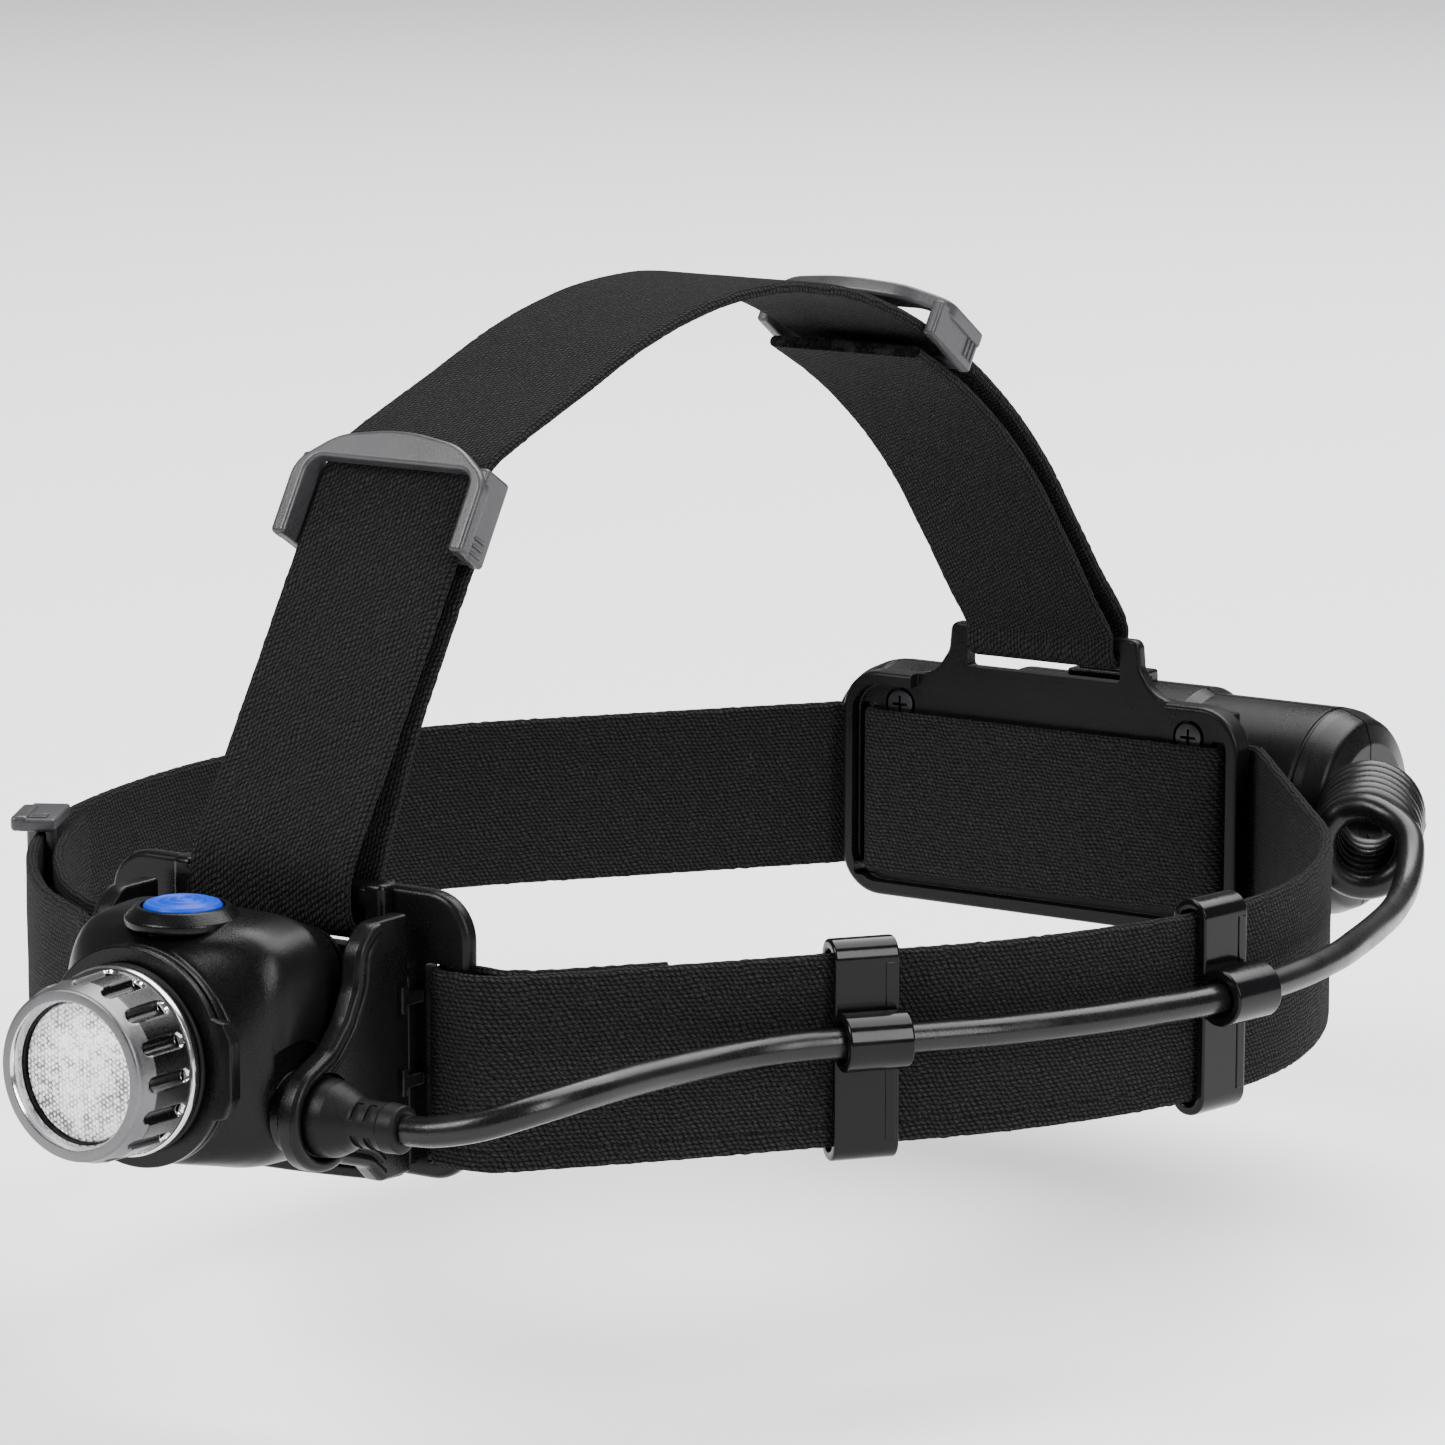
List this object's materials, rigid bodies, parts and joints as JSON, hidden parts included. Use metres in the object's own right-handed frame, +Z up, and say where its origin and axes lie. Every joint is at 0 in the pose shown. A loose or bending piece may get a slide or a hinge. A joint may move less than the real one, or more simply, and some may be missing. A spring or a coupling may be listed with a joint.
{
  "type": "headlamp",
  "caption": "Headlamp: elastic head straps, tilting twist-focus lamp on the forehead, battery case behind the head, joined by a clipped lead with a coil.",
  "frame": {"origin": "centre of the head opening, inside the headband at half its height", "axes": "-Y is where the lamp faces, +X is the wearer's left, +Z is up"},
  "size_m": [0.1822, 0.2644, 0.1081],
  "materials": {
    "moulded_black": "satin moulded",
    "gloss_black": "glossy moulded",
    "dark_grey_plastic": "satin moulded",
    "blue_rubber": "satin",
    "black_rubber": "matte",
    "webbing": "knitted elastic",
    "cable_jacket": "satin",
    "grey_aluminium": "anodised",
    "plain_aluminium": "turned",
    "steel": "zinc plated",
    "clear_lens": "micro-structured",
    "emitter": "silicone",
    "circuit_board": "solder mask",
    "cell_wrap": "shrink wrap"
  },
  "bodies": {
    "headset": {"front_bracket": "moulded_black", "tilt_cradle": "moulded_black", "headband": "webbing", "top_strap": "webbing", "rear_bracket": "moulded_black", "rear_bracket_screw_left": "steel", "rear_bracket_screw_right": "steel", "battery_tray": "moulded_black", "battery_cell": "cell_wrap", "contact_spring": "steel", "positive_contact": "steel", "negative_contact": "steel", "case_board": "circuit_board", "door_gasket": "black_rubber", "door_hinge_pin": "steel", "case_strain_relief": "black_rubber", "lamp_cable": "cable_jacket", "cable_coil": "cable_jacket", "case_cable": "cable_jacket"},
    "lamp_head": {"lamp_housing": "moulded_black", "back_cover": "moulded_black", "back_cover_screw_1": "steel", "back_cover_screw_2": "steel", "back_cover_screw_3": "steel", "back_cover_screw_4": "steel", "collar_ring": "moulded_black", "bezel_o_ring": "black_rubber", "heat_sink": "plain_aluminium", "led_board": "circuit_board", "led_emitter": "emitter", "driver_board": "circuit_board", "tactile_switch": "steel", "button_seal": "black_rubber", "head_strain_relief": "black_rubber", "pivot_screw": "steel"},
    "bezel": {"focus_bezel": "grey_aluminium"},
    "lens_group": {"lens_carrier": "moulded_black", "lens": "clear_lens"},
    "button": {"power_button": "blue_rubber"},
    "door": {"battery_door": "moulded_black"},
    "front_top_adjuster": {"front_top_slider": "dark_grey_plastic"},
    "rear_top_adjuster": {"rear_top_slider": "dark_grey_plastic"},
    "side_adjuster": {"side_slider": "dark_grey_plastic"},
    "front_clip": {"front_cable_clip": "gloss_black"},
    "rear_clip": {"rear_cable_clip": "gloss_black"}
  },
  "joints": [
    {"name": "lamp_tilt", "type": "hinge", "parent": "headset", "child": "lamp_head", "pos_m": [0, -0.1145, -0.003], "axis": [1, 0, 0], "range_deg": [0, 70]},
    {"name": "focus_turn", "type": "hinge", "parent": "lamp_head", "child": "bezel", "pos_m": [0, -0.13, 0.004], "axis": [0, -1, 0], "range_deg": [0, 120]},
    {"name": "lens_focus", "type": "slide", "parent": "lamp_head", "child": "lens_group", "axis": [0, 1, 0], "range_m": [0, 0.0025]},
    {"name": "button_press", "type": "slide", "parent": "lamp_head", "child": "button", "axis": [0, 0, -1], "range_m": [0, 0.0008], "stiffness_N_per_m": 1500},
    {"name": "door_hinge", "type": "hinge", "parent": "headset", "child": "door", "pos_m": [0, 0.11, -0.0182], "axis": [-1, 0, 0], "range_deg": [0, 100]},
    {"name": "front_top_slide", "type": "slide", "parent": "headset", "child": "front_top_adjuster", "axis": [0, 0.53, 0.848], "range_m": [-0.002, 0.002]},
    {"name": "rear_top_slide", "type": "hinge", "parent": "headset", "child": "rear_top_adjuster", "pos_m": [0, -0.02286, -0.05079], "axis": [1, 0, 0], "range_deg": [-1.3, 1.3]},
    {"name": "side_slide", "type": "hinge", "parent": "headset", "child": "side_adjuster", "pos_m": [0.00837, -0.00736, 0], "axis": [0, 0, 1], "range_deg": [-1.8, 1.8]},
    {"name": "front_clip_slide", "type": "slide", "parent": "headset", "child": "front_clip", "axis": [0.6137, 0.7895, 0], "range_m": [-0.003, 0.003]},
    {"name": "rear_clip_slide", "type": "hinge", "parent": "headset", "child": "rear_clip", "pos_m": [0.01847, 0.00078, 0], "axis": [0, 0, 1], "range_deg": [-2.5, 2.5]}
  ],
  "couplings": [
    {"joint": "lens_focus", "follows": "focus_turn", "m_per_rad": 0.001145}
  ]
}
